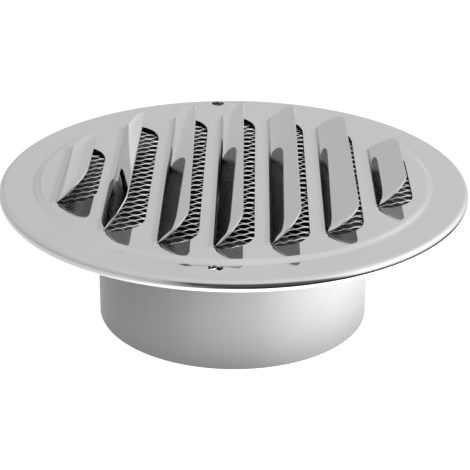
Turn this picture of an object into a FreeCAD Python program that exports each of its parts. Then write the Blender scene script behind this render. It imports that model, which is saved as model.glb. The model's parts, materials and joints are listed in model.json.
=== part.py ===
import FreeCAD, Part
import os

import Sketcher

# Round vent cover: a pressed face plate with bent-up louvres and a rolled rim, an expanded-metal
# fly screen behind it, and a flanged spigot that slides into a round duct.
# Millimetres. The origin is on the duct's axis in the wall plane, where the rolled rim meets the wall.
# +Z points out of the wall, and +Y runs along the line through the two screw holes.

DRIVING_SIZES = (
    ("plate_gauge", 0.5, "sheet thickness of the face plate"),
    ("rim_outer_r", 83.5, "outside radius of the rolled rim"),
    ("bead_r", 2.1, "outside radius of the bead rolled into the rim"),
    ("disc_r", 70.0, "radius at the middle of the step round the raised disc"),
    ("disc_rise", 1.0, "height of the raised disc above the flat flange"),
    ("step_run", 2.0, "radial length of the step"),
    ("louvre_pitch", 18.3, "distance from one louvre to the next"),
    ("louvre_shift", 0.8, "sideways shift of the row of louvres from the plate's centre"),
    ("louvre_circle_r", 61.0, "radius of the circle on which the louvres end"),
    ("shortest_louvre", 40.0, "least length of fold for which the row still gains a louvre"),
    ("louvre_skew", 1.13, "angle between the louvres and the line of the screw holes"),
    ("blade_width", 13.2, "flat width of a blade from its fold to its free edge"),
    ("blade_corner_r", 11.0, "corner radius at both ends of a blade's free edge"),
    ("fold_r", 1.2, "inside radius of a blade's fold"),
    ("kerf", 0.2, "clearance that the punch leaves round a blade"),
    ("lift_1", 38.0, "angle of the blades above the plate, from -X to +X: they are bent unevenly"),
    ("lift_2", 49.0, "second blade"),
    ("lift_3", 38.5, "third blade"),
    ("lift_4", 42.0, "middle blade"),
    ("lift_5", 41.0, "fifth blade"),
    ("lift_6", 34.5, "sixth blade"),
    ("lift_7", 35.0, "last blade"),
    ("screw_hole_r", 2.45, "radius of the two screw holes"),
    ("screw_line_x", 6.05, "distance of the screw holes' line from the centre, towards -X"),
    ("front_screw_inset", 9.9, "distance of the front screw hole from the rim's edge, along Y"),
    ("rear_screw_inset", 5.3, "distance of the rear screw hole from the rim's edge, along Y"),
    ("spigot_gauge", 0.5, "sheet thickness of the spigot and its flange"),
    ("spigot_outer_r", 49.0, "outside radius of the spigot, an easy fit in a 100 mm duct"),
    ("spigot_reach", 46.2, "length of the spigot behind the wall plane"),
    ("neck_bevel", 1.9, "width of the bevel between the spigot and its flange"),
    ("rim_clear", 1.0, "gap between the edges held in the rim and the bead's middle"),
    ("mesh_field_r", 66.0, "radius inside which the screen is pierced"),
    ("mesh_long", 18.4, "long diagonal of a mesh, from strand to strand along X"),
    ("mesh_short", 11.6, "short diagonal of a mesh, from strand to strand along Y"),
    ("strand_width", 1.6, "width of a strand of the screen"),
)

LEFT_TURN = 1
RIGHT_TURN = -1

# Heights and radii that follow from the driving sizes, as spreadsheet expressions.
FLANGE_TOP = "(2 * dims.bead_r)"
FLANGE_UNDER = f"({FLANGE_TOP} - dims.plate_gauge)"
DISC_TOP = f"({FLANGE_TOP} + dims.disc_rise)"
DISC_UNDER = f"({DISC_TOP} - dims.plate_gauge)"
SEAT_UNDER = "dims.bead_r"
SEAT_TOP = f"({SEAT_UNDER} + dims.spigot_gauge)"
SEAT_R = "(dims.rim_outer_r - dims.bead_r - dims.rim_clear)"
SCREEN_THICKNESS = f"({FLANGE_UNDER} - {SEAT_TOP})"
FRONT_SCREW_Y = "(dims.front_screw_inset - dims.rim_outer_r)"
REAR_SCREW_Y = "(dims.rim_outer_r - dims.rear_screw_inset)"
BLADE_COUNT = 7
MIDDLE_BLADE = (BLADE_COUNT + 1) // 2

doc = FreeCAD.newDocument("round_vent_cover")
dims = doc.addObject("Spreadsheet::Sheet", "dims")
for row, (alias, value, meaning) in enumerate(DRIVING_SIZES, start=1):
    dims.set(f"A{row}", meaning)
    dims.set(f"B{row}", str(value))
    dims.setAlias(f"B{row}", alias)
doc.recompute()


def number(expression):
    """The present value of a spreadsheet expression."""
    return float(dims.evalExpression(expression))


def new_sketch(body, name, role):
    """An empty sketch on one of the body's own origin planes."""
    sketch = body.newObject("Sketcher::SketchObject", name)
    plane = next(feature for feature in body.Origin.OriginFeatures if feature.Role == role)
    sketch.AttachmentSupport = [(plane, "")]
    sketch.MapMode = "FlatFace"
    return sketch


def bind_constraint(sketch, constraint, expression):
    """Adds a dimension to a sketch and ties it to a spreadsheet expression."""
    index = sketch.addConstraint(constraint)
    sketch.setExpression(f"Constraints[{index}]", expression)


def pin_point(sketch, edge, end, x_size, y_size):
    """Holds one end of a sketch edge at a place given by two spreadsheet expressions."""
    for kind, axis, size in (("DistanceX", -2, x_size), ("DistanceY", -1, y_size)):
        value = number(size)
        if abs(value) < 1e-9:
            sketch.addConstraint(Sketcher.Constraint("PointOnObject", edge, end, axis))
        elif value > 0:
            bind_constraint(sketch, Sketcher.Constraint(kind, -1, 1, edge, end, value), size)
        else:
            bind_constraint(sketch, Sketcher.Constraint(kind, edge, end, -1, 1, -value), f"-({size})")


def draw_outline(sketch, corners):
    """Draws a closed outline through corners, whose places are spreadsheet expressions.

    A corner (x, y) starts a straight edge to the next one. A corner (x, y, centre_x, centre_y, turn)
    starts an arc about that centre, turning left or right.
    """
    first = sketch.GeometryCount
    starts = []
    for place, corner in enumerate(corners):
        following = corners[(place + 1) % len(corners)]
        start = FreeCAD.Vector(number(corner[0]), number(corner[1]), 0)
        end = FreeCAD.Vector(number(following[0]), number(following[1]), 0)
        if len(corner) == 2:
            sketch.addGeometry(Part.LineSegment(start, end))
            starts.append(1)
            continue
        centre = FreeCAD.Vector(number(corner[2]), number(corner[3]), 0)
        circle = Part.Circle(centre, FreeCAD.Vector(0, 0, 1), (start - centre).Length)
        ends = (start, end) if corner[4] == LEFT_TURN else (end, start)
        sketch.addGeometry(Part.ArcOfCircle(circle, circle.parameter(ends[0]), circle.parameter(ends[1])))
        starts.append(1 if corner[4] == LEFT_TURN else 2)
    for place, corner in enumerate(corners):
        edge = first + place
        ahead = (place + 1) % len(corners)
        far_end = 3 - starts[place]
        sketch.addConstraint(Sketcher.Constraint("Coincident", edge, far_end, first + ahead, starts[ahead]))
        pin_point(sketch, edge, starts[place], corner[0], corner[1])
        if len(corner) > 2:
            radius = f"sqrt(({corner[0]} - ({corner[2]}))^2 + ({corner[1]} - ({corner[3]}))^2)"
            bind_constraint(sketch, Sketcher.Constraint("Radius", edge, number(radius)), radius)


def draw_circle(sketch, x_size, y_size, r_size):
    """Draws a circle whose centre and radius are spreadsheet expressions."""
    centre = FreeCAD.Vector(number(x_size), number(y_size), 0)
    edge = sketch.addGeometry(Part.Circle(centre, FreeCAD.Vector(0, 0, 1), number(r_size)))
    bind_constraint(sketch, Sketcher.Constraint("Radius", edge, number(r_size)), r_size)
    pin_point(sketch, edge, 3, x_size, y_size)


def revolve(body, name, corners):
    """Spins a section, drawn as radius and height, all the way round the Z axis."""
    section = new_sketch(body, f"{name}_section", "XZ_Plane")
    draw_outline(section, corners)
    turned = body.newObject("PartDesign::Revolution", name)
    turned.Profile = section
    turned.ReferenceAxis = (section, ["V_Axis"])
    turned.Angle = 360
    return turned


def pad(body, name, sketch, length, symmetric=False, downwards=False):
    """Adds the sketch's outline to the body, pulled out by a length given as an expression."""
    added = body.newObject("PartDesign::Pad", name)
    added.Profile = sketch
    added.SideType = "Symmetric" if symmetric else "One side"
    added.Reversed = downwards
    added.setExpression("Length", length)
    return added


def punch(body, name, sketch):
    """Cuts the sketch's outline right through the body, both ways."""
    doc.recompute()
    before = body.Shape.Volume
    cut = body.newObject("PartDesign::Pocket", name)
    cut.Profile = sketch
    cut.SideType = "Symmetric"
    cut.Type = "ThroughAll"
    doc.recompute()
    if not body.Shape.Volume < before:
        raise RuntimeError(f"{name} cut nothing")
    return cut


def punch_screw_holes(body, turned=False):
    """The two screw holes, in line along Y. In a body that is placed askew they are turned back."""
    sketch = new_sketch(body, f"{body.Name}_screw_holes", "XY_Plane")
    if turned:
        turn_back = FreeCAD.Rotation(FreeCAD.Vector(0, 0, 1), number("dims.louvre_skew"))
        sketch.AttachmentOffset = FreeCAD.Placement(FreeCAD.Vector(), turn_back)
        sketch.setExpression("AttachmentOffset.Rotation.Angle", "dims.louvre_skew")
    draw_circle(sketch, "-dims.screw_line_x", FRONT_SCREW_Y, "dims.screw_hole_r")
    draw_circle(sketch, "-dims.screw_line_x", REAR_SCREW_Y, "dims.screw_hole_r")
    punch(body, f"{body.Name}_screw_punch", sketch)


def plate_section():
    """Half section of the plate: raised disc, step, flat flange and the rim rolled over a hollow bead."""
    step_in = "(dims.disc_r - dims.step_run / 2)"
    step_out = "(dims.disc_r + dims.step_run / 2)"
    step_back = "(dims.plate_gauge * tan(atan(dims.disc_rise / dims.step_run) / 2))"
    bead_x = "(dims.rim_outer_r - dims.bead_r)"
    lip_x = "(dims.rim_outer_r - 2 * dims.bead_r)"
    return [
        ("0", DISC_TOP),
        (step_in, DISC_TOP),
        (step_out, FLANGE_TOP),
        (bead_x, FLANGE_TOP, bead_x, SEAT_UNDER, RIGHT_TURN),
        ("dims.rim_outer_r", SEAT_UNDER),
        (f"{bead_x} + dims.bead_r * cos(45deg)", f"{SEAT_UNDER} - dims.bead_r * cos(45deg)"),
        (bead_x, "0"),
        (lip_x, SEAT_UNDER),
        (f"{lip_x} + dims.plate_gauge * sqrt(2)", SEAT_UNDER),
        (bead_x, "dims.plate_gauge * sqrt(2)"),
        ("dims.rim_outer_r - dims.plate_gauge", SEAT_UNDER),
        (bead_x, FLANGE_UNDER),
        (f"{step_out} - {step_back}", FLANGE_UNDER),
        (f"{step_in} - {step_back}", DISC_UNDER),
        ("0", DISC_UNDER),
    ]


def tongue(fold_x, edge_x, half_length, corner_r):
    """Outline of a tongue: a straight fold, square ends and a free edge with rounded corners."""
    return [
        (fold_x, f"-({half_length})"),
        (f"{edge_x} - {corner_r}", f"-({half_length})", f"{edge_x} - {corner_r}",
         f"{corner_r} - ({half_length})", LEFT_TURN),
        (edge_x, f"{corner_r} - ({half_length})"),
        (edge_x, f"{half_length} - {corner_r}", f"{edge_x} - {corner_r}",
         f"{half_length} - {corner_r}", LEFT_TURN),
        (f"{edge_x} - {corner_r}", half_length),
        (fold_x, half_length),
    ]


def louvre_places():
    """Places of the louvres along the row, counted from the middle one, as far as they stay long enough."""
    places = [0]
    for step in range(1, BLADE_COUNT):
        chord = number(f"dims.louvre_circle_r^2 - ({step} * dims.louvre_pitch)^2")
        if chord > number("(dims.shortest_louvre / 2)^2"):
            places = [-step] + places + [step]
    return places


def press_louvre(body, place):
    """One louvre: a slot punched round three sides of a tongue, which is folded up along its left side."""
    blade = min(max(MIDDLE_BLADE + place, 1), BLADE_COUNT)
    lift = f"(dims.lift_{blade} * 1deg)"
    half_length = f"sqrt(dims.louvre_circle_r^2 - ({place} * dims.louvre_pitch)^2)"
    fold_x = f"({place} * dims.louvre_pitch + dims.louvre_shift - dims.blade_width / 2)"
    fold_length = f"((dims.fold_r + dims.plate_gauge / 2) * dims.lift_{blade} * pi / 180)"
    flat_width = f"(dims.blade_width - {fold_length})"
    corner_r = f"min(dims.blade_corner_r; {flat_width} * 0.95)"
    name = f"louvre_{blade}" if abs(place) < MIDDLE_BLADE else f"louvre_{blade}_{abs(place)}"

    slot = new_sketch(body, f"{name}_slot", "XY_Plane")
    slot_edge_x = f"({fold_x} + dims.blade_width + dims.kerf)"
    draw_outline(slot, tongue(fold_x, slot_edge_x, f"({half_length} + dims.kerf)", f"({corner_r} + dims.kerf)"))
    punch(body, f"{name}_punch", slot)

    fold_centre = f"({DISC_TOP} + dims.fold_r)"
    outer_r = "(dims.fold_r + dims.plate_gauge)"
    flat_x = f"({fold_x} + dims.fold_r * sin({lift}))"
    flat_z = f"({fold_centre} - dims.fold_r * cos({lift}))"
    fold = new_sketch(body, f"{name}_fold_section", "XZ_Plane")
    draw_outline(fold, [
        (fold_x, DISC_TOP, fold_x, fold_centre, LEFT_TURN),
        (flat_x, flat_z),
        (f"{fold_x} + {outer_r} * sin({lift})", f"{fold_centre} - {outer_r} * cos({lift})",
         fold_x, fold_centre, RIGHT_TURN),
        (fold_x, DISC_UNDER),
    ])
    pad(body, f"{name}_fold", fold, f"2 * {half_length}", symmetric=True)

    flat = new_sketch(body, f"{name}_flat", "XY_Plane")
    tilt = FreeCAD.Rotation(FreeCAD.Vector(0, -1, 0), number(f"dims.lift_{blade}"))
    flat.AttachmentOffset = FreeCAD.Placement(FreeCAD.Vector(number(flat_x), 0, number(flat_z)), tilt)
    flat.setExpression("AttachmentOffset.Base.x", flat_x)
    flat.setExpression("AttachmentOffset.Base.z", flat_z)
    flat.setExpression("AttachmentOffset.Rotation.Angle", f"dims.lift_{blade}")
    draw_outline(flat, tongue("0", flat_width, half_length, corner_r))
    pad(body, f"{name}_blade", flat, "dims.plate_gauge", downwards=True)


def make_face_plate():
    """The pressed face plate. Its louvres run along the body's own Y, and the whole plate sits askew."""
    body = doc.addObject("PartDesign::Body", "face_plate")
    revolve(body, "plate", plate_section())
    for place in louvre_places():
        press_louvre(body, place)
    punch_screw_holes(body, turned=True)
    skew = FreeCAD.Rotation(FreeCAD.Vector(0, 0, -1), number("dims.louvre_skew"))
    body.Placement = FreeCAD.Placement(FreeCAD.Vector(), skew)
    body.setExpression("Placement.Rotation.Angle", "dims.louvre_skew")
    return body


def mesh_wire(x, y, half_long, half_short):
    """The outline of one diamond-shaped mesh."""
    right = FreeCAD.Vector(x + half_long, y, 0)
    back = FreeCAD.Vector(x, y + half_short, 0)
    left = FreeCAD.Vector(x - half_long, y, 0)
    front = FreeCAD.Vector(x, y - half_short, 0)
    return Part.makePolygon([right, back, left, front, right])


def mesh_wires():
    """Outlines of the screen's meshes, in staggered rows inside the pierced field."""
    half_pitch_x = number("dims.mesh_long / 2")
    half_pitch_y = number("dims.mesh_short / 2")
    centre_to_strand = half_pitch_x * half_pitch_y / (half_pitch_x**2 + half_pitch_y**2) ** 0.5
    share_open = 1 - number("dims.strand_width / 2") / centre_to_strand
    field_r = number("dims.mesh_field_r")
    rows = int(field_r / half_pitch_y)
    columns = int(field_r / half_pitch_x)
    wires = []
    for row in range(-rows, rows + 1):
        for column in range(-columns, columns + 1):
            x = column * half_pitch_x
            y = row * half_pitch_y
            far_corner = max(
                FreeCAD.Vector(abs(x) + half_pitch_x, y, 0).Length,
                FreeCAD.Vector(x, abs(y) + half_pitch_y, 0).Length,
            )
            if (row + column) % 2 == 0 and far_corner <= field_r:
                wires.append(mesh_wire(x, y, half_pitch_x * share_open, half_pitch_y * share_open))
    return wires


def disc_wire(x, y, radius):
    """A circle as a wire."""
    return Part.Wire(Part.makeCircle(radius, FreeCAD.Vector(x, y, 0)))


def make_fly_screen():
    """The expanded-metal screen, its edge held between the plate's flange and the spigot's."""
    pierced = Part.Face([disc_wire(0, 0, number(SEAT_R))] + mesh_wires(), "Part::FaceMakerBullseye")
    for screw_y in (FRONT_SCREW_Y, REAR_SCREW_Y):
        hole = disc_wire(number("-dims.screw_line_x"), number(screw_y), number("dims.screw_hole_r"))
        pierced = pierced.cut(Part.Face(hole))
    outline = doc.addObject("Part::Feature", "screen_outline")
    outline.Shape = pierced
    outline.Placement = FreeCAD.Placement(FreeCAD.Vector(0, 0, number(SEAT_TOP)), FreeCAD.Rotation())
    outline.setExpression("Placement.Base.z", SEAT_TOP)
    screen = doc.addObject("Part::Extrusion", "fly_screen")
    screen.Base = outline
    screen.DirMode = "Custom"
    screen.Dir = FreeCAD.Vector(0, 0, 1)
    screen.setExpression("LengthFwd", SCREEN_THICKNESS)
    screen.Solid = True
    return screen


def make_spigot():
    """The spigot and its wide flange, spun from one sheet. The rim's lip holds the flange up."""
    body = doc.addObject("PartDesign::Body", "spigot")
    neck_under = f"({SEAT_UNDER} - dims.neck_bevel)"
    neck_x = "(dims.spigot_outer_r + dims.neck_bevel)"
    inner_r = "(dims.spigot_outer_r - dims.spigot_gauge)"
    bend_back = "(dims.spigot_gauge * tan(22.5deg))"
    revolve(body, "collar", [
        ("dims.spigot_outer_r", "-dims.spigot_reach"),
        ("dims.spigot_outer_r", neck_under),
        (neck_x, SEAT_UNDER),
        (SEAT_R, SEAT_UNDER),
        (SEAT_R, SEAT_TOP),
        (f"{neck_x} - {bend_back}", SEAT_TOP),
        (inner_r, f"{neck_under} + {bend_back}"),
        (inner_r, "-dims.spigot_reach"),
    ])
    punch_screw_holes(body)
    return body


bodies = [make_face_plate(), make_fly_screen(), make_spigot()]
doc.recompute()

for item in doc.Objects:
    if "Invalid" in item.State or "Error" in item.State:
        raise RuntimeError(f"{item.Label} did not compute")
for body in bodies:
    if body.Shape.isNull() or not body.Shape.isValid() or len(body.Shape.Solids) != 1:
        raise RuntimeError(f"{body.Label} is not one sound solid")

os.makedirs("parts", exist_ok=True)
for body in bodies:
    body.Shape.exportStep(os.path.join("parts", f"{body.Label}.step"))
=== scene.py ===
"""Dresses the round vent cover: a mirror-polished face plate, an expanded-metal fly screen, a satin spigot.

Sizes are in millimetres in the classes and become metres when a mesh is made. The frame is the CAD part's:
the origin on the duct's axis in the wall plane, +Z out of the wall, +Y along the line of the screw holes.
"""

from __future__ import annotations

import json
import logging
import math
from collections.abc import Sequence
from dataclasses import dataclass
from enum import Enum

import bpy
import numpy as np
from mathutils import Matrix, Vector
from mathutils.geometry import delaunay_2d_cdt

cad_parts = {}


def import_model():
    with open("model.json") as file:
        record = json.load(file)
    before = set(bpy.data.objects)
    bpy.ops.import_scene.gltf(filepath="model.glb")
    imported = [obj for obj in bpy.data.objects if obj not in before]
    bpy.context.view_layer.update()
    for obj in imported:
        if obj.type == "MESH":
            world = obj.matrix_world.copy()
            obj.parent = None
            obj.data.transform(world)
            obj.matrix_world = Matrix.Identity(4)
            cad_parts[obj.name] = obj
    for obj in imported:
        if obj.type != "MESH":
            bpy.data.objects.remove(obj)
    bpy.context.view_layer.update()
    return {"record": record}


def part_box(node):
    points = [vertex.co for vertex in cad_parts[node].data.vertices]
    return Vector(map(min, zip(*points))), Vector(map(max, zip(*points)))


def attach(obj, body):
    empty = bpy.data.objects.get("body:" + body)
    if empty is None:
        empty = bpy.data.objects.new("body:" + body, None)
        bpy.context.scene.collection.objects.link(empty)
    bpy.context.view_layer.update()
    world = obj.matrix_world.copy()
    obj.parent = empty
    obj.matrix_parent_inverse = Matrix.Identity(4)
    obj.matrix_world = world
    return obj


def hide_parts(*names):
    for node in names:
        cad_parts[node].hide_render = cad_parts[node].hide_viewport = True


LOG = logging.getLogger("vent_cover")
MM = 0.001
ROUND_STEPS = 360
WELD = 1e-4
SAME_PLACE = 1e-7
# Face attribute for the finish: 1 on polished faces; lower values are duller and take painted shade.
POLISH_AND_SHADE = "finish"
WHITE = (1.0, 1.0, 1.0, 1.0)

Array = np.ndarray
Socket = bpy.types.NodeSocket
Shade = tuple[float, float, float]
Pair = tuple[float, float]
Stops = tuple[Pair, ...]


class Slot(Enum):
    """The record's material slots."""

    PLATE = "polished_plate"
    SCREEN = "screen_metal"
    SHEET = "satin_sheet"


class Grain(Enum):
    """How a metal's fine lines run, as the stretch of their pattern along X, Y and Z."""

    POLISHED = (1.0, 0.12, 1.0)
    DRAWN = (1.0, 1.0, 0.03)
    ROLLED = (1.0, 1.0, 1.0)


@dataclass
class Patch:
    """A stretch of surface: places, their outward normals and the faces between them."""

    points: Array
    normals: Array
    faces: Array
    # 1 is fully polished; lower values are duller and darker by painted shade.
    finish: float = 1.0

    def dull_and_shade(self, finish: float = 0.0) -> Patch:
        """The same patch with less polish and more painted shade, down to no polish and full painted shade on
        the inner face of its sheet.
        """
        return Patch(self.points, self.normals, self.faces, finish)

    def oriented(self) -> Patch:
        """The same patch with each face turned so that it looks the way its normals point."""
        corners = self.points[self.faces]
        looks = np.cross(corners[:, 1] - corners[:, 0], corners[:, 2] - corners[:, 0])
        looks += np.cross(corners[:, -1] - corners[:, 2], corners[:, 0] - corners[:, 2])
        wrong = np.einsum("ij,ij->i", looks, self.normals[self.faces].mean(axis=1)) < 0
        faces = np.where(wrong[:, None], self.faces[:, ::-1], self.faces)
        return Patch(self.points, self.normals, faces, self.finish)

    def turned(self, angle: float) -> Patch:
        """The patch turned about the Z axis, by an angle in radians, anticlockwise seen from above."""
        spin = np.array(Matrix.Rotation(angle, 3, "Z"))
        return Patch(self.points @ spin.T, self.normals @ spin.T, self.faces, self.finish)


def grid_faces(rows: int, columns: int, ring: bool = False) -> Array:
    """Four-cornered faces of a grid whose places are numbered row by row.

    Args:
        rows: Number of rows of places.
        columns: Number of places in a row.
        ring: Whether the last place of a row joins on to the first.

    Returns:
        Corner numbers, one line per face.
    """
    here = np.arange(columns if ring else columns - 1)
    following = (here + 1) % columns
    lower = np.arange(rows - 1)[:, None] * columns
    upper = lower + columns
    corners = [lower + here, lower + following, upper + following, upper + here]
    return np.stack(corners, axis=-1).reshape(-1, 4)


def free_patch(points: Array, normals: Array, faces: Array) -> Patch:
    """A patch from places and normals in any layout, and four-cornered faces between them."""
    return Patch(points.reshape(-1, 3), normals.reshape(-1, 3), faces.reshape(-1, 4)).oriented()


def grid_patch(points: Array, normals: Array, ring: bool = False) -> Patch:
    """A patch from places and normals on a grid, rows by columns by 3; its rows may be closed rings."""
    return free_patch(points, normals, grid_faces(points.shape[0], points.shape[1], ring))


def unit(vectors: Array) -> Array:
    """The vectors, each brought to length 1."""
    return vectors / np.linalg.norm(vectors, axis=-1, keepdims=True)


def soft_step(share: Array) -> Array:
    """A rise from 0 to 1 with soft ends, 3 s s - 2 s s s, over the shares s of a way."""
    held = np.clip(share, 0, 1)
    return held**2 * (3 - 2 * held)


def within(spots: Array, middles: Sequence[Pair], reach: float) -> Array:
    """Which places in the plane lie nearer to any of the middles than a reach."""
    return np.any([np.hypot(*(spots - middle).T) < reach for middle in middles], axis=0)


def round_angles() -> Array:
    """Evenly spaced angles round the axis, in radians."""
    return np.arange(ROUND_STEPS) * 2 * np.pi / ROUND_STEPS


def spun_patch(radius: Array, height: Array, lean: Array) -> Patch:
    """A profile spun round the Z axis: place = (r cos a, r sin a, h), normal leaning up by the given angle.

    Args:
        radius: Radii along the profile, as a column or as one line per profile place and column per angle.
        height: Heights along the profile, of the same shape.
        lean: Angle of the outward normal above the horizontal, of the same shape.

    Returns:
        The spun patch.
    """
    angles = round_angles()[None, :]
    radius, height, lean = (np.broadcast_to(a, (a.shape[0], ROUND_STEPS)) for a in (radius, height, lean))
    points = np.stack([radius * np.cos(angles), radius * np.sin(angles), height], axis=-1)
    flat = np.cos(lean)
    normals = np.stack([flat * np.cos(angles), flat * np.sin(angles), np.sin(lean)], axis=-1)
    return grid_patch(points, normals, ring=True)


def arc(centre: Pair, radius: float, turn: Array) -> Array:
    """Places in the plane at the given angles round a circle, one line each."""
    return np.asarray(centre) + radius * np.stack([np.cos(turn), np.sin(turn)], axis=-1)


def circle(centre: Pair, radius: float, steps: int) -> Array:
    """Evenly spaced places round a circle in the plane, one line each."""
    return arc(centre, radius, np.arange(steps) * 2 * np.pi / steps)


def pierced_triangles(loops: list[Array], loose: Array) -> tuple[Array, Array]:
    """Fills the plane between closed outlines with triangles that keep to the outlines.

    Args:
        loops: The outlines, each a closed run of places.
        loose: Further places between them.

    Returns:
        All places, and the triangles over the whole hull, the insides of the outlines included.
    """
    edges = []
    start = 0
    for loop in loops:
        here = np.arange(len(loop))
        edges.append(np.stack([here, (here + 1) % len(loop)], axis=-1) + start)
        start += len(loop)
    cloud = np.concatenate([*loops, loose])
    found = delaunay_2d_cdt(cloud.tolist(), np.concatenate(edges).tolist(), [], 0, SAME_PLACE)
    return np.array(found[0]), np.array(found[2])


@dataclass
class PieceMesh:
    """Patches that make one closed mesh whose corners keep the patches' exact normals."""

    name: str
    patches: list[Patch]

    def build(self, finish: MetalFinish, slot: Slot, node: str) -> bpy.types.Object:
        """Welds the patches where they meet and makes the object that stands for a CAD node.

        Args:
            finish: The piece's finish.
            slot: The record's slot for that finish; not used.
            node: The CAD node that the piece replaces.

        Returns:
            The new object, riding on the part's body.
        """
        points = np.concatenate([patch.points for patch in self.patches])
        _, first, welded = np.unique(np.round(points / WELD), axis=0, return_index=True, return_inverse=True)
        welded = welded.reshape(-1)
        faces: list[list[int]] = []
        corner_normals = []
        polish = []
        start = 0
        for patch in self.patches:
            joined = welded[patch.faces + start]
            whole = (joined != np.roll(joined, 1, axis=1)).all(axis=1)
            faces.extend(joined[whole].tolist())
            corner_normals.append(patch.normals[patch.faces[whole]].reshape(-1, 3))
            polish.append(np.full(whole.sum(), patch.finish))
            start += len(patch.points)
        mesh = bpy.data.meshes.new(self.name)
        mesh.from_pydata((points[first] * MM).tolist(), [], faces, shade_flat=False)
        mesh.normals_split_custom_set(np.concatenate(corner_normals).tolist())
        mesh.attributes.new(POLISH_AND_SHADE, "FLOAT", "FACE").data.foreach_set("value", np.concatenate(polish))
        mesh.materials.append(finish.material())
        piece = bpy.data.objects.new(self.name, mesh)
        bpy.context.scene.collection.objects.link(piece)
        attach(piece, "root")
        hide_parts(node)
        LOG.info("%s: %d faces in place of %s", self.name, len(faces), node)
        return piece


@dataclass
class NodeKit:
    """Adds nodes to a material's or a world's tree, and the sums between their values."""

    tree: bpy.types.NodeTree

    def put(self, target: Socket, value: object) -> None:
        """Feeds an input: links it to a socket, or sets a plain value on it."""
        if isinstance(value, Socket):
            self.tree.links.new(value, target)
        else:
            target.default_value = value

    def add(self, kind: str, **inputs: object) -> bpy.types.Node:
        """Adds a node by its type after the word ShaderNode, and feeds its inputs by their names."""
        node = self.tree.nodes.new("ShaderNode" + kind)
        for name, value in inputs.items():
            self.put(node.inputs[name], value)
        return node

    def maths(self, operation: str, first: object, second: object) -> Socket:
        """The result of one operation on two values, each a socket or a number."""
        node = self.add("Math")
        node.operation = operation
        self.put(node.inputs[0], first)
        self.put(node.inputs[1], second)
        return node.outputs["Value"]

    def product(self, first: Socket, *others: Socket) -> Socket:
        """The product of several sockets' values."""
        for other in others:
            first = self.maths("MULTIPLY", first, other)
        return first

    def rest(self, part: Socket) -> Socket:
        """What is left of 1 when a value is taken from it."""
        return self.maths("SUBTRACT", 1.0, part)

    def spread(self, source: Socket, start: float, end: float, low: float = 0, high: float = 1) -> Socket:
        """A value that goes from low to high while a measure goes from start to end, and stays there."""
        limits = {"From Min": start, "From Max": end, "To Min": low, "To Max": high}
        return self.add("MapRange", Value=source, **limits).outputs["Result"]

    def run(self, source: Socket, stops: Stops) -> Socket:
        """A run of values along a measure, straight from stop to stop.

        Args:
            source: The measure.
            stops: Pairs of measure and value, in order.

        Returns:
            The socket that gives the value.
        """
        low, high = stops[0][0], stops[-1][0]
        peak = max(value for _, value in stops)
        ramp = self.add("ValToRGB", Fac=self.spread(source, low, high))
        elements = ramp.color_ramp.elements
        while len(elements) < len(stops):
            elements.new(1.0)
        for element, (at, value) in zip(elements, stops):
            element.position = (at - low) / (high - low)
            element.color = (value / peak, value / peak, value / peak, 1.0)
        return self.maths("MULTIPLY", ramp.outputs["Color"], peak)


@dataclass(frozen=True)
class MetalFinish:
    """A metal surface: two near shades in soft clouds, fine lines in its roughness and a slight unevenness.

    Inner faces of the sheet, marked by the finish attribute, are left duller, and darker by painted shade.
    """

    name: str
    shade: Shade
    deep_shade: Shade
    roughness: Pair
    grain: Grain
    grain_scale: float
    cloud_scale: float
    unevenness: float
    # Colour of inner faces: painted shade.
    inner_painted_shade: Shade = (0.6, 0.6, 0.61)
    inner_roughness: float = 0.6
    cloud_detail: float = 3.0
    cloud_range: Pair = (0.35, 0.65)
    grain_detail: float = 5.0
    grain_range: Pair = (0.3, 0.7)

    def material(self) -> bpy.types.Material:
        """Builds the finish as nodes on Object coordinates.

        Returns:
            The material.
        """
        material = bpy.data.materials.new(self.name)
        material.use_nodes = True
        kit = NodeKit(material.node_tree)
        shader = kit.tree.nodes["Principled BSDF"]
        shader.inputs["Metallic"].default_value = 1.0
        place = kit.add("TexCoord").outputs["Object"]
        attribute = kit.add("Attribute")
        attribute.attribute_name = POLISH_AND_SHADE
        outer = attribute.outputs["Fac"]

        clouds = kit.add("TexNoise", Vector=place, Scale=self.cloud_scale, Detail=self.cloud_detail)
        tint = kit.add("ValToRGB", Fac=clouds.outputs["Fac"])
        stops = zip(tint.color_ramp.elements, self.cloud_range, (self.deep_shade, self.shade))
        for element, at, shade in stops:
            element.position = at
            element.color = (*shade, 1.0)
        # Faces below full finish blend towards the inner colour, which is painted shade.
        colour = kit.add("Mix", Factor=outer)
        colour.data_type = "RGBA"
        painted_shade_colour, outer_colour = (socket for socket in colour.inputs if socket.type == "RGBA")
        kit.put(painted_shade_colour, (*self.inner_painted_shade, 1.0))
        kit.put(outer_colour, tint.outputs["Color"])
        kit.put(shader.inputs["Base Color"], next(end for end in colour.outputs if end.type == "RGBA"))

        stretch = kit.add("Mapping", Vector=place, Scale=self.grain.value)
        grain = kit.add(
            "TexNoise", Vector=stretch.outputs["Vector"], Scale=self.grain_scale, Detail=self.grain_detail
        )
        lines = grain.outputs["Fac"]
        sheen = kit.spread(lines, *self.grain_range, *self.roughness)
        smooth = kit.add("Mix", Factor=outer, A=self.inner_roughness, B=sheen)
        kit.put(shader.inputs["Roughness"], smooth.outputs["Result"])
        bump = kit.add("Bump", Strength=1.0, Distance=self.unevenness * MM, Height=lines)
        kit.put(shader.inputs["Normal"], bump.outputs["Normal"])
        return material


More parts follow.
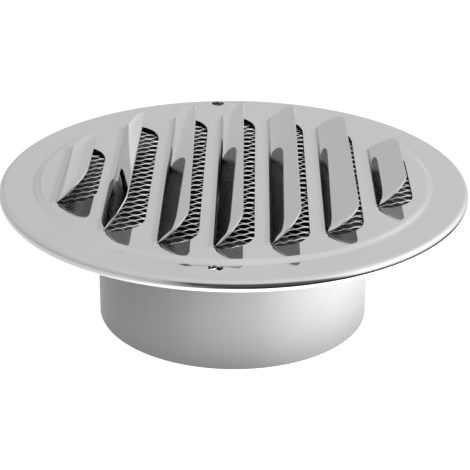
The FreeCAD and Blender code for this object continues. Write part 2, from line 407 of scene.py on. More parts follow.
POLISHED_STEEL = MetalFinish(
    name="polished_steel",
    shade=(0.535, 0.536, 0.538),
    deep_shade=(0.515, 0.516, 0.52),
    roughness=(0.03, 0.06),
    grain=Grain.POLISHED,
    grain_scale=900.0,
    cloud_scale=28.0,
    unevenness=0.0004,
    # Undersides of the plate, blades and bead: painted shade, darker than the polished side.
    inner_painted_shade=(0.25, 0.25, 0.254),
    inner_roughness=0.22,
)
EXPANDED_ALUMINIUM = MetalFinish(
    name="expanded_aluminium",
    shade=(0.97, 0.97, 0.975),
    deep_shade=(0.9, 0.9, 0.91),
    roughness=(0.38, 0.5),
    grain=Grain.ROLLED,
    grain_scale=1500.0,
    cloud_scale=160.0,
    unevenness=0.004,
)
SATIN_SHEET = MetalFinish(
    name="satin_sheet",
    shade=(0.225, 0.225, 0.227),
    deep_shade=(0.213, 0.213, 0.215),
    roughness=(0.46, 0.5),
    grain=Grain.DRAWN,
    grain_scale=700.0,
    cloud_scale=30.0,
    unevenness=0.0006,
    # Tube inside and flange top: near-black painted shade for the shade under the plate and down the duct.
    inner_painted_shade=(0.08, 0.08, 0.081),
    inner_roughness=0.7,
)


@dataclass(frozen=True)
class FrameSizes:
    """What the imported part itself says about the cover's size, in millimetres; the front hole comes first."""

    spigot_r: float
    spigot_end: float
    top: float
    hole_r: float
    holes: tuple[Pair, Pair]

    @classmethod
    def read(cls, record: dict) -> FrameSizes:
        """Takes the mounts' sizes from the record, and the spigot's end and the plate's top from their boxes.

        Args:
            record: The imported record.

        Returns:
            The sizes.
        """
        mounts = {mount["name"]: mount for mount in record["mounts"]}
        holes = mounts["screw_holes"]
        x, y, _ = (value / MM for value in holes["pos_m"])
        half = holes["dims"]["spacing_y_mm"] / 2
        return cls(
            spigot_r=mounts["duct_spigot"]["dims"]["r_mm"],
            spigot_end=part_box("spigot")[0].z / MM,
            top=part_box("face_plate")[1].z / MM,
            hole_r=holes["dims"]["hole_r_mm"],
            holes=((x, y - half), (x, y + half)),
        )


@dataclass
class Louvre:
    """One louvre: a slot and the blade folded up from it, with its fold along Y at fold_x.

    The blade is bent by hand, so it leans more towards one end and keeps a slight spring beyond its fold.
    """

    fold_x: float
    half: float
    lift: float
    twist: float
    spring: float
    ceiling: float
    gauge: float
    plate_top: float
    width: float = 13.2
    corner_r: float = 11.0
    rear_stretch: float = 1.2
    fold_r: float = 1.2
    kerf: float = 0.2
    ceiling_gap: float = 0.01
    corner_share: float = 0.95
    edge_round: float = 0.8
    corner_steps: int = 22
    middle_steps: int = 24
    fold_steps: int = 10
    flat_steps: int = 20
    ease: float = 0.3
    swell: float = 0.6
    swell_reach: float = 3.0
    swell_ends: float = 2.0
    # Finish along the fold's strip: duller, with a painted dark reflection.
    crease_painted_dark: float = 0.4
    beside_rows: int = 4
    beside_steps: int = 57
    end_rows: tuple[float, ...] = (0.6, 1.2, 1.8)
    end_steps: int = 5
    end_lead: float = 0.1

    def __post_init__(self) -> None:
        """Trims the blade where it would stand above the ceiling, and keeps its corners within its width."""
        steepest = np.array([self.lift + abs(self.twist)])
        middle = np.zeros(1)
        reach = self.width - self.used(steepest, middle)
        top = self.plate_top + self.swelling(self.on_fold(middle))[0]
        top += self.section(steepest, reach, middle)[1].max()
        self.trim = max(0.0, (top - self.ceiling + self.ceiling_gap) / math.sin(self.lift))
        self.blade_corner = min(self.corner_r, self.corner_share * (reach[0] - self.trim))

    def swelling(self, spots: Array) -> Array:
        """How far the sheet swells up at each place: swell (1 - d / reach) squared, d away from the fold.

        It dies out softly past the slot's ends.
        """
        near = np.clip(1 - np.abs(spots[:, 0] - self.fold_x) / self.swell_reach, 0, 1)
        share = (self.half + self.swell_ends - np.abs(spots[:, 1])) / (2 * self.swell_ends)
        return self.swell * near**2 * soft_step(share)

    def on_fold(self, along: Array) -> Array:
        """Places in the plane along the fold, one line each."""
        return np.column_stack([np.full_like(along, self.fold_x), along])

    def first_turn(self, along: Array) -> Array:
        """Lean of the swollen sheet where the fold starts, at each place along it."""
        return np.arctan(2 * self.swelling(self.on_fold(along)) / self.swell_reach)

    def used(self, lift: Array, along: Array) -> Array:
        """Width of the blade that goes into the fold, at each place along it."""
        turn = lift + self.bend(np.zeros(1)) - self.first_turn(along)
        return (self.fold_r + self.gauge / 2) * turn

    def bend(self, share: Array) -> Array:
        """Lean beyond the mean one, the share u of the way out: spring exp(-u / ease), less its mean."""
        mean = self.ease * (1 - math.exp(-1 / self.ease))
        return self.spring * (np.exp(-share / self.ease) - mean)

    def section(self, lift: Array, reach: Array, along: Array) -> tuple[Array, Array, Array]:
        """Sections across the blade: x = r sin t, z = -r cos t round the fold, then summed up from the lean.

        Args:
            lift: Each section's mean lean.
            reach: Its length beyond the fold.
            along: Its place along the fold.

        Returns:
            How far out and how far up each section has gone, and its lean, one line per section.
        """
        share = np.linspace(0, 1, self.flat_steps + 1)
        lean = lift[:, None] + self.bend(share)
        first = self.first_turn(along)[:, None]
        turn = first + (lean[:, :1] - first) * np.linspace(0, 1, self.fold_steps + 1)
        middle = lift[:, None] + self.bend((share[1:] + share[:-1]) / 2)
        step = reach[:, None] / self.flat_steps
        out = self.fold_r * (np.sin(turn) - np.sin(first))
        rise = self.fold_r * (np.cos(first) - np.cos(turn))
        return (
            np.concatenate([out, out[:, -1:] + np.cumsum(np.cos(middle), axis=1) * step], axis=1),
            np.concatenate([rise, rise[:, -1:] + np.cumsum(np.sin(middle), axis=1) * step], axis=1),
            np.concatenate([turn, lean[:, 1:]], axis=1),
        )

    def rows(self) -> tuple[Array, Array, Array]:
        """Rows across the blade, from its front end to its rear end.

        In a corner the row at turn t lies at half - r + r sin t, and the free edge draws back by r - r cos t.
        The rear corner is stretched along the fold.

        Returns:
            The rows' places along the fold, how far the free edge draws back, and the edge's turn.
        """
        turn = np.linspace(0, np.pi / 2, self.corner_steps + 1)
        front = self.blade_corner * (1 - np.sin(turn)) - self.half
        rear = self.half - self.blade_corner * self.rear_stretch * (1 - np.sin(turn))
        back = self.blade_corner * (1 - np.cos(turn))
        middle = np.linspace(front[0], rear[0], self.middle_steps + 1)[1:-1]
        none = np.zeros_like(middle)
        rear_turn = np.arctan2(np.sin(turn), self.rear_stretch * np.cos(turn))
        return (
            np.concatenate([front[::-1], middle, rear]),
            np.concatenate([back[::-1], none, back]),
            np.concatenate([-turn[::-1], none, rear_turn]),
        )

    def outline(self) -> Array:
        """The slot's outline in the plane, with the blade's rows along its fold side.

        Returns:
            Places round the slot: the open sides first, then the fold side from rear to front.
        """
        radius = self.corner_r + self.kerf
        turn = np.linspace(0, np.pi / 2, self.corner_steps + 1)
        edge_x = self.fold_x + self.width + self.kerf
        end_y = self.half + self.kerf
        front_x = edge_x - radius + radius * np.sin(turn)
        front = np.stack([front_x, -end_y + radius * (1 - np.cos(turn))], axis=-1)
        rear = ((front[::-1] + (0, end_y)) * (1, self.rear_stretch) - (0, end_y)) * (1, -1)
        fold = self.on_fold(self.rows()[0][::-1])
        return np.concatenate([[(self.fold_x, -end_y)], front, rear, [(self.fold_x, end_y)], fold])

    def covers(self, spots: Array) -> Array:
        """Which places in the plane lie inside the slot.

        Args:
            spots: Places, one line each.

        Returns:
            True for each place inside.
        """
        radius = self.corner_r + self.kerf
        x = spots[:, 0] - self.fold_x
        y = np.abs(spots[:, 1])
        wide = self.width + self.kerf
        inside = (x > 0) & (x < wide) & (y < self.half + self.kerf)
        stretch = np.where(spots[:, 1] > 0, self.rear_stretch, 1.0)
        over_x = np.maximum(x - (wide - radius), 0)
        over_y = np.maximum(y - (self.half + self.kerf - radius * stretch), 0) / stretch
        return inside & (np.hypot(over_x, over_y) < radius)

    def blade(self) -> list[Patch]:
        """The blade: a section per row, leaning by lift + twist y / half, up to where the corners draw back.

        Returns:
            Its upper side, duller and with a painted dark reflection along the fold, its underside in painted
            shade, and the cut edge round it.
        """
        along, back, edge_turn = self.rows()
        lift = self.lift + self.twist * along / self.half
        x, z, lean = self.section(lift, self.width - self.trim - self.used(lift, along) - back, along)
        z = z + self.plate_top + self.swelling(self.on_fold(along))[:, None]
        upper = np.stack([self.fold_x + x, np.broadcast_to(along[:, None], x.shape), z], axis=-1)
        slope = np.stack([np.cos(lean), np.zeros_like(lean), np.sin(lean)], axis=-1)
        normals = unit(np.cross(slope, np.gradient(upper, axis=0)))
        lower = upper - self.gauge * normals

        rearward = np.array([0.0, 1.0, 0.0])
        rear_end = np.broadcast_to(rearward, (x.shape[1], 3))
        edge = np.cos(edge_turn)[:, None] * slope[:, -1] + np.sin(edge_turn)[:, None] * rearward
        rim = [np.concatenate([side[0], side[:, -1], side[-1, ::-1]]) for side in (upper, lower)]
        rim_normals = np.concatenate([-rear_end, edge, rear_end])
        up = self.edge_round * np.concatenate([normals[0], normals[:, -1], normals[-1, ::-1]])
        rounded = unit(np.stack([rim_normals + up, rim_normals - up]))
        crease = self.fold_steps + 1
        return [
            # The fold's strip is duller and carries a painted dark reflection; the underside carries painted
            # shade.
            grid_patch(upper[:, : crease + 1], normals[:, : crease + 1]).dull_and_shade(self.crease_painted_dark),
            grid_patch(upper[:, crease:], normals[:, crease:]),
            grid_patch(lower, -normals).dull_and_shade(),
            grid_patch(np.stack(rim), rounded),
        ]

    def slot_wall(self) -> Patch:
        """The cut edge of the plate round the open sides of the slot, up to the fold's first place."""
        run = self.outline()[: 1 - len(self.rows()[0])]
        top = self.plate_top + self.swelling(run)
        return wall_patch(run, top, top - self.gauge, False)

    def fold_spots(self) -> Array:
        """Places in the plate along the swelling beside the fold and round the slot's ends."""
        near = np.arange(-self.beside_rows, 0) / self.beside_rows * self.swell_reach
        along = np.linspace(-1, 1, self.beside_steps) * (self.half + self.swell_ends)
        past = self.half + self.kerf + np.array(self.end_rows)
        across = np.linspace(-self.end_lead, 1, self.end_steps) * self.swell_reach
        grids = [np.meshgrid(near, along), np.meshgrid(across, [*-past, *past])]
        spots = [np.stack(grid, axis=-1).reshape(-1, 2) for grid in grids]
        return np.concatenate(spots) + (self.fold_x, 0)


def wall_patch(run: Array, top: Array | float, bottom: Array | float, closed: bool) -> Patch:
    """An upright wall along a run of places that goes anticlockwise round a hole, looking into the hole.

    Args:
        run: Places in the plane.
        top: Height of the wall's top, one for all or one per place.
        bottom: Height of its foot.
        closed: Whether the run is a closed ring.

    Returns:
        The wall.
    """
    ahead = np.roll(run, -1, axis=0) - np.roll(run, 1, axis=0)
    if not closed:
        ahead[0] = run[1] - run[0]
        ahead[-1] = run[-1] - run[-2]
    inward = unit(np.stack([-ahead[:, 1], ahead[:, 0], np.zeros(len(run))], axis=-1))
    rows = [np.column_stack([run, np.broadcast_to(level, len(run))]) for level in (top, bottom)]
    return grid_patch(np.stack(rows), np.stack([inward, inward]), ring=closed)


@dataclass
class FacePlate:
    """The polished face plate: raised disc, step, flange, rolled rim, louvres, screw holes in low bosses."""

    sizes: FrameSizes
    gauge: float = 0.5
    rim_r: float = 83.5
    bead_r: float = 2.1
    disc_r: float = 70.0
    disc_rise: float = 1.0
    step_run: float = 3.2
    skew: float = math.radians(1.13)
    pitch: float = 18.3
    shift: float = 0.8
    louvre_circle_r: float = 61.0
    lifts: tuple[float, ...] = (39.0, 49.2, 41.0, 43.2, 40.8, 33.4, 35.5)
    twists: tuple[float, ...] = (0.0, -1.6, 5.0, 3.5, 1.0, 5.0, 0.0)
    springs: tuple[float, ...] = (8.0, 5.0, 6.0, 9.0, 10.0, 22.0, 22.0)
    boss_rise: Pair = (0.5, 0.12)
    boss_reach: Pair = (8.0, 3.3)
    boss_fade: Pair = (1.5, 2.0)
    step_rings: int = 13
    flange_rings: tuple[float, ...] = (72.8, 74.6, 76.4, 78.2, 80.0)
    hole_rings: tuple[float, ...] = (2.8, 3.3, 4.0, 4.9, 6.0, 7.4)
    hole_field: float = 8.5
    hole_margin: float = 0.4
    ring_margins: Pair = (0.15, 0.3)
    hole_steps: int = 48
    bead_steps: int = 30
    lip_turn: float = math.radians(270)
    notch_turn: float = math.radians(185)
    notch_half: float = 3.2
    notch_ease: float = 1.5
    slope_step: float = 1e-3

    def __post_init__(self) -> None:
        """Turns the screw holes into the plate's own axes, along its louvres, and lays out the louvres."""
        turn = np.array(Matrix.Rotation(self.skew, 2))
        self.holes = [tuple(turn @ np.array(hole)) for hole in self.sizes.holes]
        self.bead_x = self.rim_r - self.bead_r
        middle = len(self.lifts) // 2
        self.louvres = [
            Louvre(
                fold_x=(place - middle) * self.pitch + self.shift - Louvre.width / 2,
                half=math.sqrt(self.louvre_circle_r**2 - ((place - middle) * self.pitch) ** 2),
                lift=math.radians(lift),
                twist=math.radians(twist),
                spring=math.radians(spring),
                ceiling=self.sizes.top,
                gauge=self.gauge,
                plate_top=2 * self.bead_r + self.disc_rise,
            )
            for place, (lift, twist, spring) in enumerate(zip(self.lifts, self.twists, self.springs))
        ]

    def height(self, spots: Array) -> Array:
        """The outer side's height: flange + rise (1 - sin(pi t)) / 2 over the step, and a boss at each hole.

        Punching has raised the sheet round a hole by rise exp(-(dx / a) squared - (dy / b) squared), fading
        out towards the step and the bead. Along each fold the sheet swells up towards its blade.

        Args:
            spots: Places in the plane, one line each.

        Returns:
            The height at each place.
        """
        radius = np.hypot(spots[:, 0], spots[:, 1])
        step = np.clip((radius - self.disc_r) / self.step_run, -0.5, 0.5)
        level = 2 * self.bead_r + self.disc_rise * (1 - np.sin(np.pi * step)) / 2
        inner = (radius - self.disc_r - self.step_run / 2) / self.boss_fade[0]
        outer = (self.bead_x - radius) / self.boss_fade[1]
        fade = soft_step(outer) * soft_step(inner)
        for hole, rise in zip(self.holes, self.boss_rise):
            share = ((spots - hole) / self.boss_reach) ** 2
            level = level + fade * rise * np.exp(-share.sum(axis=1))
        return level + sum(louvre.swelling(spots) for louvre in self.louvres)

    def slopes(self, spots: Array) -> Array:
        """Unit normals of the outer side, from its height's rise along X, from the left, and along Y."""
        step = self.slope_step
        rise_x = (self.height(spots) - self.height(spots - (step, 0))) / step
        rise_y = (self.height(spots + (0, step)) - self.height(spots - (0, step))) / (2 * step)
        return unit(np.stack([-rise_x, -rise_y, np.ones_like(rise_x)], axis=-1))

    def sheet(self) -> list[Patch]:
        """The plate inside its bead, outer side and underside, pierced by the slots and the screw holes.

        Returns:
            Both sides, the underside duller and in painted shade, and the walls of the screw holes.
        """
        rims = [circle(hole, self.sizes.hole_r, self.hole_steps) for hole in self.holes]
        loops = [circle((0, 0), self.bead_x, ROUND_STEPS), *rims]
        loops += [louvre.outline() for louvre in self.louvres]
        rings = np.linspace(-0.5, 0.5, self.step_rings) * self.step_run + self.disc_r
        loose = np.concatenate([circle((0, 0), r, ROUND_STEPS) for r in [*rings, *self.flange_rings]])
        on_step = np.abs(np.hypot(*loose.T) - self.disc_r) <= self.step_run / 2 + WELD
        close = within(loose, self.holes, self.sizes.hole_r + self.hole_margin)
        loose = loose[~close & (on_step | ~within(loose, self.holes, self.hole_field))]
        round_holes = np.concatenate(
            [circle(hole, r, self.hole_steps) for hole in self.holes for r in self.hole_rings]
        )
        radius = np.hypot(*round_holes.T)
        inner = self.disc_r + self.step_run / 2 + self.ring_margins[0]
        round_holes = round_holes[(radius > inner) & (radius < self.bead_x - self.ring_margins[1])]
        beside = [louvre.fold_spots() for louvre in self.louvres]
        spots, faces = pierced_triangles(loops, np.concatenate([loose, round_holes, *beside]))
        middles = spots[faces].mean(axis=1)
        gone = np.any([louvre.covers(middles) for louvre in self.louvres], axis=0)
        faces = faces[~gone & ~within(middles, self.holes, self.sizes.hole_r)]
        top = np.column_stack([spots, self.height(spots)])
        up = self.slopes(spots)
        under = top - (0, 0, self.gauge)
        walls = [wall_patch(rim, self.height(rim), self.height(rim) - self.gauge, True) for rim in rims]
        # The underside is duller and in painted shade.
        return [Patch(top, up, faces).oriented(), Patch(under, -up, faces, 0.0).oriented(), *walls]

    def bead(self) -> list[Patch]:
        """The rolled rim: a sheet bent round a circle of the bead's radius, through the lip's turn.

        The sheet's outer side lies at bead_x + r cos a and r + r sin a, with a falling from the top by
        the share u of the turn. Over the rear screw hole it turns less, so that the screw passes the lip.

        Returns:
            The roll's outside, its lip's end and its inside, duller and in painted shade.
        """
        aim = math.atan2(*self.holes[1][::-1])
        away = np.abs((round_angles() - aim + np.pi) % (2 * np.pi) - np.pi) * self.bead_x
        open_lip = np.clip((self.notch_half + self.notch_ease - away) / self.notch_ease, 0, 1)
        turn = self.lip_turn + (self.notch_turn - self.lip_turn) * open_lip
        share = np.linspace(0, 1, self.bead_steps + 1)[:, None]
        bend = np.pi / 2 - share * turn[None, :]
        inner_r = self.bead_r - self.gauge
        outside = spun_patch(self.bead_x + self.bead_r * np.cos(bend), self.bead_r * (1 + np.sin(bend)), bend)
        inside_x = self.bead_x + inner_r * np.cos(bend)
        inside = spun_patch(inside_x, self.bead_r + inner_r * np.sin(bend), bend + np.pi)
        ends = np.stack([bend[-1], bend[-1]])
        reach = np.array([[self.bead_r], [inner_r]])
        lip_x = self.bead_x + reach * np.cos(ends)
        lip = spun_patch(lip_x, self.bead_r + reach * np.sin(ends), ends - np.pi / 2)
        # The roll's inside is duller and in painted shade.
        return [outside, lip, inside.dull_and_shade()]

    def dress(self) -> bpy.types.Object:
        """Builds the plate, polished, in place of its CAD node."""
        patches = [*self.sheet(), *self.bead()]
        for louvre in self.louvres:
            patches += [*louvre.blade(), louvre.slot_wall()]
        piece = PieceMesh("polished_face_plate", [patch.turned(-self.skew) for patch in patches])
        return piece.build(POLISHED_STEEL, Slot.PLATE, "face_plate")


@dataclass
class FlyScreen:
    """The expanded-metal screen: rows of tilted bonds, joined by strands that sway down to the next row."""

    level: float = 3.12
    long_pitch: float = 6.85
    short_pitch: float = 4.45
    shift: Pair = (0.82, -0.75)
    turn: float = math.radians(-6.5)
    strand_width: float = 0.32
    strand_thickness: float = 0.12
    bond_length: float = 1.5
    tilt: float = math.radians(30)
    sway: float = 0.7
    strand_root: float = 0.7
    worn: float = 0.35
    stations: int = 5
    edge_r: float = 79.9
    uneven: float = 0.04
    seed: int = 11

    def strips(self, start: Array, end: Array, width: float, tilt: Array, sway: float) -> list[Patch]:
        """Flat strips along the path x = t, y = t - sway sin(2 pi t) / (2 pi), with a section tilted about X.

        Their normals turn from side to side, as on strands whose edges are worn round.

        Args:
            start: Where each strip's middle line starts.
            end: Where it ends.
            width: Width of the strips.
            tilt: Tilt of each strip's flat side, in radians.
            sway: How level the strips set off from and reach their ends, from 0 to 1.

        Returns:
            The strips' four long sides and two ends, which close them.
        """
        share = np.linspace(0, 1, self.stations if sway else 2)
        eased = share - sway * np.sin(2 * np.pi * share) / (2 * np.pi)
        pace = 1 - sway * np.cos(2 * np.pi * share)
        run = (end - start)[:, None]
        path = start[:, None] + run * np.stack([share, eased, eased], axis=-1)
        ahead = unit(run * np.stack([np.ones_like(share), pace, pace], axis=-1))
        level = np.zeros_like(tilt)
        across = np.stack([level, np.cos(tilt), np.sin(tilt)], axis=-1)[:, None] * width / 2
        up = np.stack([level, -np.sin(tilt), np.cos(tilt)], axis=-1)[:, None] * self.strand_thickness / 2
        sides = []
        for out, along in ((up, across), (across, up), (-up, across), (-across, up)):
            looks = np.cross(ahead, along)
            looks *= np.sign((looks * out).sum(axis=-1, keepdims=True))
            looks = unit(looks) * self.worn + unit(out) * (1 - self.worn)
            round_off = unit(along) * self.worn
            corners = np.stack([path + out - along, path + out + along], axis=2)
            faces = grid_faces(len(share), 2)[None] + np.arange(len(path))[:, None, None] * 2 * len(share)
            normals = unit(np.stack([looks - round_off, looks + round_off], axis=2))
            sides.append(free_patch(corners, normals, faces))
        for place, sign in ((0, -1), (-1, 1)):
            ring = np.concatenate([-across - up, across - up, across + up, up - across], axis=1)
            looks = np.repeat(sign * ahead[:, place, None], 4, axis=1)
            sides.append(free_patch(path[:, place, None] + ring, looks, np.arange(4 * len(path))))
        return sides

    def keep(self, spots: Array) -> Array:
        """Which places lie inside the screen's edge."""
        return within(spots[:, :2], [(0, 0)], self.edge_r)

    def lattice(self) -> list[Patch]:
        """Bonds where i + j is even, at (i long/2, j short/2), and two strands from each to the row behind.

        Returns:
            The bonds and the strands, in the screen's own axes.
        """
        wave = np.random.default_rng(self.seed)
        columns = int(self.edge_r / (self.long_pitch / 2)) + 2
        rows = int(self.edge_r / (self.short_pitch / 2)) + 2
        i, j = np.meshgrid(np.arange(-columns, columns + 1), np.arange(-rows, rows + 1), indexing="ij")
        i, j = i[(i + j) % 2 == 0], j[(i + j) % 2 == 0]
        x = self.shift[0] + i * self.long_pitch / 2
        y = self.shift[1] + j * self.short_pitch / 2
        knots = np.stack([x, y, np.full(len(i), self.level)], axis=-1)
        knots[:, :2] += wave.normal(0, self.uneven, (len(i), 2))
        drop = self.strand_width * np.array([0.0, math.cos(self.tilt), math.sin(self.tilt)]) / 2
        half_bond = np.array([self.bond_length / 2, 0.0, 0.0])
        tilts = self.tilt + wave.normal(0, self.uneven, len(knots))
        shown = self.keep(knots + half_bond) & self.keep(knots - half_bond)
        bond_ends = (knots - half_bond)[shown], (knots + half_bond)[shown]
        patches = self.strips(*bond_ends, 2 * self.strand_width, tilts[shown], 0.0)
        root = half_bond * self.strand_root
        for side in (-1, 1):
            step = np.array([side * self.long_pitch / 2, self.short_pitch / 2, 0.0])
            start = knots + drop + side * root
            end = knots + step - drop - side * root
            shown = self.keep(start) & self.keep(end)
            patches += self.strips(start[shown], end[shown], self.strand_width, tilts[shown], self.sway)
        return patches

    def dress(self) -> bpy.types.Object:
        """Builds the screen in place of its CAD node."""
        piece = PieceMesh("expanded_fly_screen", [patch.turned(self.turn) for patch in self.lattice()])
        return piece.build(EXPANDED_ALUMINIUM, Slot.SCREEN, "fly_screen")


@dataclass
class Spigot:
    """The plain spigot and its wide flange, spun from one sheet."""

    sizes: FrameSizes
    gauge: float = 0.5
    seat: float = 2.1
    neck_r: float = 1.9
    flange_r: float = 80.4
    hole_steps: int = 48
    neck_steps: int = 12
    wall_steps: int = 8

    def wall(self) -> list[Patch]:
        """The tube and its neck: upright at the tube's radius, then a quarter circle out to the flange.

        Returns:
            Outside, inside, duller and in near-black painted shade, and the cut end.
        """
        turn = np.linspace(0, np.pi / 2, self.neck_steps + 1)
        centre_r = self.sizes.spigot_r + self.neck_r
        centre_z = self.seat - self.neck_r
        steps = np.linspace(self.sizes.spigot_end, centre_z, self.wall_steps + 1)[:-1]
        sides = []
        for reach, facing in ((self.neck_r, 0.0), (self.neck_r + self.gauge, np.pi)):
            radius = np.concatenate([np.full(len(steps), centre_r - reach), centre_r - reach * np.cos(turn)])
            height = np.concatenate([steps, centre_z + reach * np.sin(turn)])
            lean = np.concatenate([np.zeros(len(steps)), -turn]) + facing
            sides.append(spun_patch(radius[:, None], height[:, None], lean[:, None]))
        # The tube's inside is duller and in near-black painted shade.
        sides[1] = sides[1].dull_and_shade()
        inner = self.sizes.spigot_r - self.gauge
        end_r = np.array([[self.sizes.spigot_r], [inner]])
        end = spun_patch(end_r, np.full((2, 1), self.sizes.spigot_end), np.full((2, 1), -np.pi / 2))
        return [*sides, end]

    def edge_run(self) -> Array:
        """The flange's edge, a circle with the notch that the rear screw hole cuts into it.

        The notch's ends lie at acos((R R + d d - r r) / (2 R d)) to either side of the hole,
        seen from the axis, and at acos((R R - d d - r r) / (2 d r)) seen from the hole.

        Returns:
            Places round the edge, anticlockwise, with those along the notch last.
        """
        hole = np.array(self.sizes.holes[1])
        away = float(np.hypot(*hole))
        aim = math.atan2(hole[1], hole[0])
        edge_2, away_2, hole_2 = self.flange_r**2, away**2, self.sizes.hole_r**2
        seen = math.acos((edge_2 + away_2 - hole_2) / (2 * self.flange_r * away))
        own = math.acos((edge_2 - away_2 - hole_2) / (2 * away * self.sizes.hole_r))
        ring = aim + np.linspace(seen, 2 * np.pi - seen, ROUND_STEPS)
        notch = aim + np.linspace(-own, own - 2 * np.pi, self.hole_steps)[1:-1]
        return np.concatenate([arc((0, 0), self.flange_r, ring), arc(hole, self.sizes.hole_r, notch)])

    def flange(self) -> list[Patch]:
        """The flat flange between the neck and its edge, pierced by the front screw hole.

        Returns:
            Underside, upper side, duller and in near-black painted shade, the hole's wall and the outer edge.
        """
        inner_r = self.sizes.spigot_r + self.neck_r
        rim = circle(self.sizes.holes[0], self.sizes.hole_r, self.hole_steps)
        edge = self.edge_run()
        middle_ring = circle((0, 0), (self.flange_r + inner_r) / 2, ROUND_STEPS // 3)
        spots, faces = pierced_triangles([edge, circle((0, 0), inner_r, ROUND_STEPS), rim], middle_ring)
        middles = spots[faces].mean(axis=1)
        gone = np.hypot(*middles.T) < inner_r * math.cos(np.pi / ROUND_STEPS)
        faces = faces[~gone & ~within(middles, self.sizes.holes, self.sizes.hole_r)]
        up = np.broadcast_to(np.array([0.0, 0.0, 1.0]), (len(spots), 3))
        under = np.column_stack([spots, np.full(len(spots), self.seat)])
        top = under + (0, 0, self.gauge)
        walls = [wall_patch(run, self.seat + self.gauge, self.seat, True) for run in (rim, edge[::-1])]
        # The flange's upper side, under the plate, is duller and in near-black painted shade.
        return [Patch(under, -up, faces).oriented(), Patch(top, up, faces, 0.0).oriented(), *walls]

    def dress(self) -> bpy.types.Object:
        """Builds the spigot in satin sheet in place of its CAD node."""
        piece = PieceMesh("satin_spigot", [*self.wall(), *self.flange()])
        return piece.build(SATIN_SHEET, Slot.SHEET, "spigot")


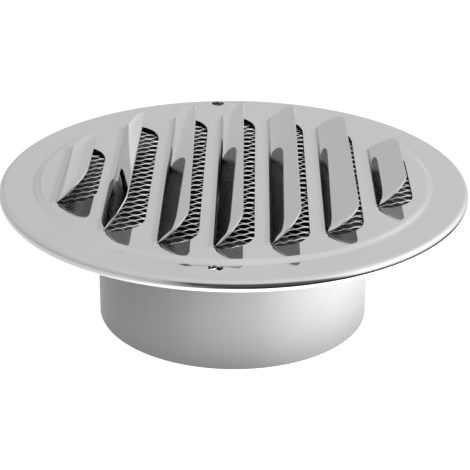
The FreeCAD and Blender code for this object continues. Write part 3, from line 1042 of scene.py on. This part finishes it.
@dataclass
class Studio:
    """A plain pale floor, soft light from above and the right, and the camera at the photo's place.

    The floor's light runs along the distance from the axis and along X, the sky's along its direction's axes.
    A pair of limits says where a value leaves 0 and where it reaches 1.
    """

    floor_z: float
    image_side: int = 470
    focal_px: float = 1535.07
    distance: float = 0.51583
    elevation: float = math.radians(24.79)
    azimuth: float = math.radians(-0.534)
    roll: float = math.radians(0.504)
    aim: tuple[float, float, float] = (0.000635, -0.039178, 0.0)
    sensor: float = 36.0
    clip_start: float = 0.01
    floor_half: float = 4.0
    floor_tones: Pair = (0.01, 0.3)
    floor_roughness: float = 0.9
    # Painted shade: inside this radius, where the duct goes down, the floor is dark and does not glow.
    duct_shade_edge: Pair = (0.0484, 0.0487)
    sheet_end: Pair = (-0.2, -0.22)
    end_side: Pair = (-0.2, -0.08)
    # Painted shadow: a dark arc on the floor at the right, outside the picture, mirrored by the rim's bead.
    painted_shadow_arc: Stops = ((0, 0), (0.152, 0), (0.158, 1), (0.3, 1), (0.33, 0), (0.5, 0))
    painted_shadow_front: Pair = (0.1, 0.08)
    painted_shadow_side: Pair = (-0.08, 0.04)
    floor_glow: Stops = (
        (0, 0.86), (0.12, 0.8), (0.3, 0.7), (0.44, 0.68), (0.6, 0.5), (0.9, 0.46), (2, 0.46)
    )
    ring_glow: Stops = (
        (0, 0), (0.045, 0.05), (0.056, 0.15), (0.066, 0.36), (0.08, 0.58), (0.1, 0.82), (0.13, 0.7),
        (0.16, 0), (0.5, 0),
    )
    ring_side: Stops = (
        (-0.4, 0), (-0.1, 0), (-0.07, 0.45), (-0.045, 1.5), (-0.02, 2.6), (0, 3.1), (0.05, 3.7),
        (0.1, 3.8), (0.4, 3.8),
    )
    ring_front: Pair = (0.12, -0.04)
    sky_across: Stops = (
        (-1, 0.86), (-0.5, 0.93), (-0.16, 0.96), (0.2, 1.03), (0.42, 1.1), (0.62, 1.5), (0.8, 1.9),
        (1, 2.0),
    )
    sky_height: Stops = ((-1, 0.88), (0.1, 0.88), (0.36, 0.94), (0.5, 1.0), (1, 1.15))
    front_dim: Stops = ((-1, 0.87), (-0.7, 0.85), (-0.54, 0.1), (-0.45, 0), (1, 0))
    front_dim_side: Stops = ((-1, 0), (-0.55, 0), (-0.3, 1), (1, 1))
    back_dim: Stops = ((-1, 0), (0.78, 0), (0.86, 1), (1, 1))
    back_dim_side: Stops = (
        (-1, 0), (-0.44, 0), (-0.42, 0.02), (-0.41, 0.06), (-0.36, 0.09), (-0.26, 0.12), (-0.2, 0.1),
        (-0.13, 0), (1, 0),
    )
    strips: Stops = ((50, 0.36), (90, 0.7))
    strip_away: float = 0.24
    strip_level: float = 0.016
    strip_size: Pair = (0.18, 0.028)

    def camera(self) -> None:
        """Places the camera on its line of sight through the aim point."""
        aimed = Matrix.Translation(self.aim) @ Matrix.Rotation(math.pi / 2 - self.elevation, 4, "X")
        drawn_back = Matrix.Rotation(self.roll, 4, "Z") @ Matrix.Translation((0, 0, self.distance))
        data = bpy.data.cameras.new("photo_camera")
        data.sensor_fit = "HORIZONTAL"
        data.sensor_width = self.sensor
        data.lens = self.sensor * self.focal_px / self.image_side
        data.clip_start = self.clip_start
        camera = bpy.data.objects.new("photo_camera", data)
        camera.matrix_world = Matrix.Rotation(self.azimuth, 4, "Z") @ aimed @ drawn_back
        bpy.context.scene.collection.objects.link(camera)
        bpy.context.scene.camera = camera

    def floor_material(self) -> bpy.types.Material:
        """A pale sheet with a glow of its own and a brighter ring round the spigot, ahead and on the right.

        Painted shade makes it dark where the duct goes down; it is dark ahead of the sheet's end; and a painted
        shadow makes it dark in an arc outside the picture, on the right, which the rim's bead mirrors as its
        dark line.

        Returns:
            The material.
        """
        material = bpy.data.materials.new("pale_floor")
        material.use_nodes = True
        kit = NodeKit(material.node_tree)
        shader = kit.tree.nodes["Principled BSDF"]
        place = kit.add("TexCoord").outputs["Object"]
        axes = kit.add("SeparateXYZ", Vector=place).outputs
        flat = kit.add("VectorMath", Vector=place)
        flat.operation = "MULTIPLY"
        flat.inputs[1].default_value = (1, 1, 0)
        length = kit.add("VectorMath", Vector=flat.outputs["Vector"])
        length.operation = "LENGTH"
        away = length.outputs["Value"]
        ahead = kit.product(kit.spread(axes["Y"], *self.sheet_end), kit.spread(axes["X"], *self.end_side))
        # The painted shadow arc on the right; with the painted shade down the duct it takes the floor's
        # paleness and glow away.
        painted_shadow_place = kit.product(kit.spread(axes["Y"], *self.painted_shadow_front), kit.spread(axes["X"], *self.painted_shadow_side))
        painted_shadow_arc = kit.product(kit.run(away, self.painted_shadow_arc), painted_shadow_place)
        pale = kit.product(kit.spread(away, *self.duct_shade_edge), kit.rest(ahead), kit.rest(painted_shadow_arc))
        ring = kit.product(kit.run(away, self.ring_glow), kit.run(axes["X"], self.ring_side))
        ring = kit.product(ring, kit.spread(axes["Y"], *self.ring_front))
        glow = kit.maths("ADD", kit.run(away, self.floor_glow), ring)
        kit.put(shader.inputs["Base Color"], kit.spread(pale, 0.0, 1.0, *self.floor_tones))
        kit.put(shader.inputs["Roughness"], self.floor_roughness)
        kit.put(shader.inputs["Emission Color"], WHITE)
        kit.put(shader.inputs["Emission Strength"], kit.product(glow, pale))
        return material

    def floor(self) -> None:
        """Lays the floor at the spigot's end."""
        half = self.floor_half
        mesh = bpy.data.meshes.new("floor")
        corners = [(-half, -half), (half, -half), (half, half), (-half, half)]
        mesh.from_pydata([(*corner, self.floor_z) for corner in corners], [], [(0, 1, 2, 3)])
        mesh.materials.append(self.floor_material())
        floor = bpy.data.objects.new("floor", mesh)
        bpy.context.scene.collection.objects.link(floor)

    def sky(self) -> None:
        """Soft light all round: brighter right and overhead, dimmer behind the camera and back left."""
        world = bpy.data.worlds.new("soft_studio")
        world.use_nodes = True
        kit = NodeKit(world.node_tree)
        axes = kit.add("SeparateXYZ", Vector=kit.add("TexCoord").outputs["Generated"]).outputs
        front = kit.product(kit.run(axes["Y"], self.front_dim), kit.run(axes["X"], self.front_dim_side))
        back = kit.product(kit.run(axes["Y"], self.back_dim), kit.run(axes["X"], self.back_dim_side))
        level = kit.product(kit.run(axes["X"], self.sky_across), kit.run(axes["Z"], self.sky_height))
        background = kit.tree.nodes["Background"]
        kit.put(background.inputs["Strength"], kit.product(level, kit.rest(front), kit.rest(back)))
        kit.put(background.inputs["Color"], WHITE)
        bpy.context.scene.world = world

    def low_strips(self, lit: bpy.types.Object) -> None:
        """Low strip lights round the front and the right, below the plate's level, shielded from the plate.

        Args:
            lit: The piece that the strips light.
        """
        shielded = bpy.data.collections.new("lit_by_strips")
        shielded.objects.link(lit)
        for number, (bearing, power) in enumerate(self.strips, 1):
            data = bpy.data.lights.new(f"low_strip_{number}", "AREA")
            data.shape = "RECTANGLE"
            data.size, data.size_y = self.strip_size
            data.energy = power
            light = bpy.data.objects.new(data.name, data)
            turn = math.radians(bearing)
            outward = Vector((math.sin(turn), -math.cos(turn), 0))
            light.location = outward * self.strip_away + Vector((0, 0, self.floor_z + self.strip_level))
            light.rotation_euler = (-outward).to_track_quat("-Z", "Y").to_euler()
            light.light_linking.receiver_collection = shielded
            bpy.context.scene.collection.objects.link(light)

    def set_up(self, low_lit: bpy.types.Object) -> None:
        """Makes the floor, the light and the camera, and shows colours as they are.

        Args:
            low_lit: The piece that the low strips light.
        """
        self.floor()
        self.sky()
        self.low_strips(low_lit)
        self.camera()
        bpy.context.scene.view_settings.view_transform = "Standard"
        bpy.context.scene.view_settings.look = "None"


def main() -> None:
    """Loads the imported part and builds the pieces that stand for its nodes, and the studio round them."""
    logging.basicConfig(level=logging.INFO)
    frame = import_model()
    sizes = FrameSizes.read(frame["record"])
    FacePlate(sizes).dress()
    FlyScreen().dress()
    spigot = Spigot(sizes).dress()
    Studio(floor_z=sizes.spigot_end * MM).set_up(spigot)


if __name__ == "__main__":
    main()
